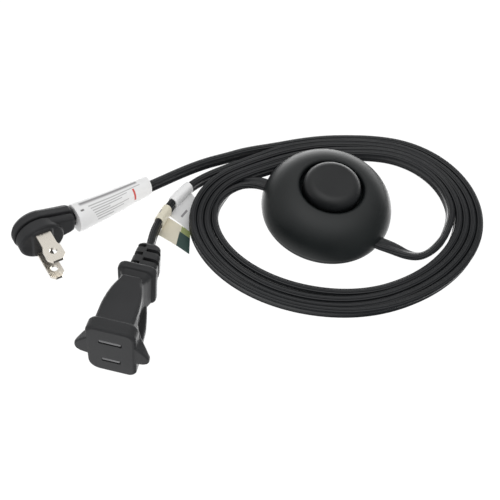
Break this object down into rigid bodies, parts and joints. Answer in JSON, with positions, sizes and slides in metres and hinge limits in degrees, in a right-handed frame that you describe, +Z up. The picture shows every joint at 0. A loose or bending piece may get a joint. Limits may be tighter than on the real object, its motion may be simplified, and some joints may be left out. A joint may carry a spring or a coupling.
{
  "type": "lamp foot switch",
  "caption": "Round domed floor switch with a push button, in line on a flat two-wire cord that is wound round it, with a flat right-angle plug and an outlet connector.",
  "frame": {"origin": "on the floor, under the middle of the switch", "axes": "+Z up, out of the push button; X along the cord where it passes through the switch"},
  "size_m": [0.1773, 0.1819, 0.0307],
  "materials": {
    "housing": "satin black moulded plastic",
    "button": "satin black moulded plastic",
    "feet": "matt black rubber",
    "cord": "soft black cord sheath with a slight sheen",
    "moulding": "soft black moulding with a fine grain",
    "blades": "plated blades with fine drawing marks",
    "brass": "plain brass strip",
    "wire": "insulated wire",
    "steel": "plain bright steel",
    "works": "natural nylon",
    "white_label": "white film label",
    "cream_label": "cream film label"
  },
  "bodies": {
    "housing": {"top_cover": "housing", "base_plate": "housing", "rubber_foot_1": "feet", "rubber_foot_2": "feet", "rubber_foot_3": "feet", "rubber_foot_4": "feet", "cord_left": "cord", "cord_right": "cord", "cord_to_plug": "cord", "cord_to_connector": "cord", "cord_coil": "cord", "plug_body": "moulding", "connector_body": "moulding", "plug_blade_neutral": "blades", "plug_blade_line": "blades", "moving_contact": "brass", "fixed_contact": "brass", "connector_contact_neutral": "brass", "connector_contact_line": "brass", "neutral_conductor": "wire", "line_conductor_1": "wire", "line_conductor_2": "wire", "housing_screw_1": "steel", "housing_screw_2": "steel", "housing_screw_3": "steel", "housing_screw_4": "steel", "clamp_screw_1": "steel", "clamp_screw_2": "steel", "clamp_screw_3": "steel", "clamp_screw_4": "steel", "button_spring_1": "steel", "button_spring_2": "steel", "cord_clamp_1": "works", "cord_clamp_2": "works", "plug_label": "white_label", "white_tag": "white_label", "cream_tag": "cream_label"},
    "button": {"foot_button": "button", "drive_pawl": "steel"},
    "rotor": {"ratchet_rotor": "works"}
  },
  "joints": [
    {"name": "button_press", "type": "slide", "parent": "housing", "child": "button", "axis": [0, 0, -1], "range_m": [0, 0.004], "stiffness_N_per_m": 800, "springref_m": -0.006, "deforming": ["button_spring_1", "button_spring_2"]},
    {"name": "rotor_turn", "type": "hinge", "parent": "housing", "child": "rotor", "pos_m": [0, 0, 0.0085], "axis": [0, 1, 0], "range_deg": [0, 90]}
  ],
  "couplings": [
    {"joint": "rotor_turn", "follows": "button_press", "rad_per_m": 196.35}
  ]
}
